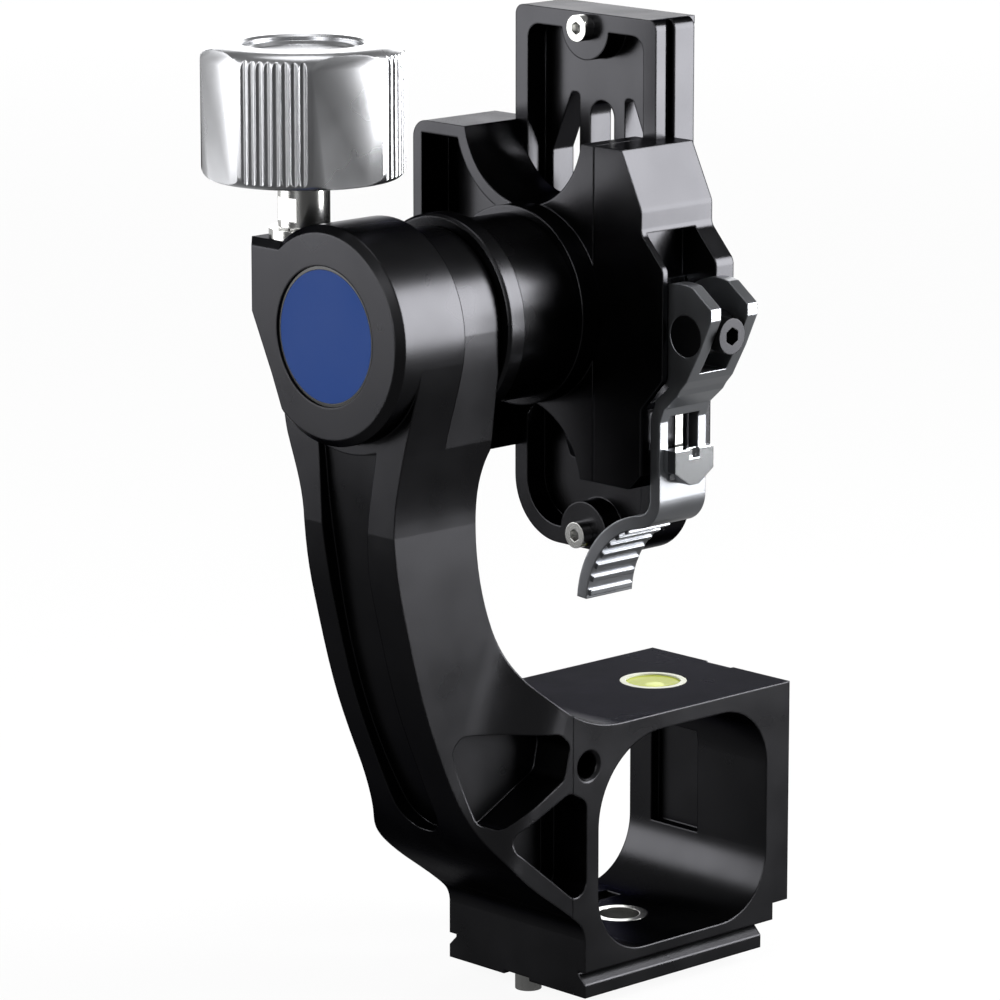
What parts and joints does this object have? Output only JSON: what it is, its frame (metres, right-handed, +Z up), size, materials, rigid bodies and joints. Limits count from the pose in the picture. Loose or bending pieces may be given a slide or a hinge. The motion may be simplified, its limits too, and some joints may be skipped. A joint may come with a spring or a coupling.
{
  "type": "gimbal tripod head",
  "caption": "Side-mount gimbal head: a C-shaped arm on a railed box base, a lock knob on the boss, and a lever clamp that turns on a level axle and holds a long lens plate.",
  "frame": {"origin": "mouth of the tripod thread, in the middle of the base's underside", "axes": "+Z up; +X along the tilt axis, from the boss's disc to the clamp and plate; the base's big window runs along Y and the clamp's lever is on the -Y side"},
  "size_m": [0.1163, 0.0792, 0.1898],
  "materials": {
    "black_anodised": "satin black anodised",
    "black_steel": "black oxide",
    "steel": "ground steel",
    "bearing_steel": "polished",
    "silver_anodised": "satin clear anodised",
    "lever_aluminium": "polished titanium grey anodised",
    "chrome": "bright",
    "stainless": "bright",
    "blue_enamel": "satin enamel",
    "black_paint": "gloss",
    "white_plastic": "gloss",
    "vial_liquid": "clear yellow-green",
    "clear_cover": "clear",
    "bronze": "plain",
    "acetal": "plain"
  },
  "bodies": {
    "arm": {"arm_frame": "black_anodised", "base_block": "black_anodised", "badge_disc": "blue_enamel", "badge_ring": "black_paint", "level_cup": "white_plastic", "level_vial": "vial_liquid", "level_lens": "clear_cover", "tripod_bush": "stainless", "safety_screws": "black_steel", "bearing_outer_races": "bearing_steel", "bearing_balls": "bearing_steel", "outer_spacer": "silver_anodised", "spindle_bush": "bronze"},
    "lock": {"lock_plug": "bronze"},
    "knob": {"lock_knob": "silver_anodised", "knob_spindle": "stainless", "knob_cap": "silver_anodised", "knob_screw": "steel"},
    "rotor": {"axle": "steel", "brake_drum": "bronze", "bearing_inner_races": "bearing_steel", "inner_spacer": "silver_anodised", "preload_nut": "black_steel", "friction_washer": "acetal", "hub_disc": "black_anodised", "flange_screws": "black_steel", "rotor_hub": "black_anodised", "clamp_body": "black_anodised", "hub_screws": "black_steel", "tie_bolt": "black_steel", "lever_pin": "black_steel", "guide_pins": "steel", "jaw_springs": "steel"},
    "lever": {"clamp_lever": "lever_aluminium", "button_spring": "steel"},
    "jaw": {"movable_jaw": "black_anodised", "cam_plate": "steel"},
    "button": {"lock_button": "chrome"},
    "plate": {"lens_plate": "black_anodised", "stop_screws": "stainless", "camera_screws": "stainless"}
  },
  "joints": [
    {"name": "lock_slide", "type": "slide", "parent": "arm", "child": "lock", "axis": [0, 0, 1], "range_m": [0, 0.001]},
    {"name": "knob_turn", "type": "hinge", "parent": "lock", "child": "knob", "pos_m": [-0.0693, 0.0142, 0.1603], "axis": [0, 0, 1], "range_deg": [0, 360]},
    {"name": "tilt_turn", "type": "hinge", "parent": "arm", "child": "rotor", "pos_m": [0, 0, 0.1331], "axis": [1, 0, 0], "continuous": true},
    {"name": "lever_turn", "type": "hinge", "parent": "rotor", "child": "lever", "pos_m": [-0.01695, -0.0397, 0.1316], "axis": [-1, 0, 0], "range_deg": [0, 90]},
    {"name": "jaw_slide", "type": "slide", "parent": "rotor", "child": "jaw", "axis": [0, -1, 0], "range_m": [0, 0.0025], "deforming": ["jaw_springs"]},
    {"name": "button_slide", "type": "slide", "parent": "lever", "child": "button", "axis": [0, 0, 1], "range_m": [0, 0.0045], "stiffness_N_per_m": 300, "springref_m": -0.003, "deforming": ["button_spring"]},
    {"name": "plate_slide", "type": "slide", "parent": "rotor", "child": "plate", "axis": [0, 0, 1], "range_m": [-0.028, 0.024]}
  ],
  "couplings": [
    {"joint": "lock_slide", "follows": "knob_turn", "m_per_rad": 0.00015915},
    {"joint": "jaw_slide", "follows": "lever_turn", "m_per_rad": 0.0015915}
  ]
}
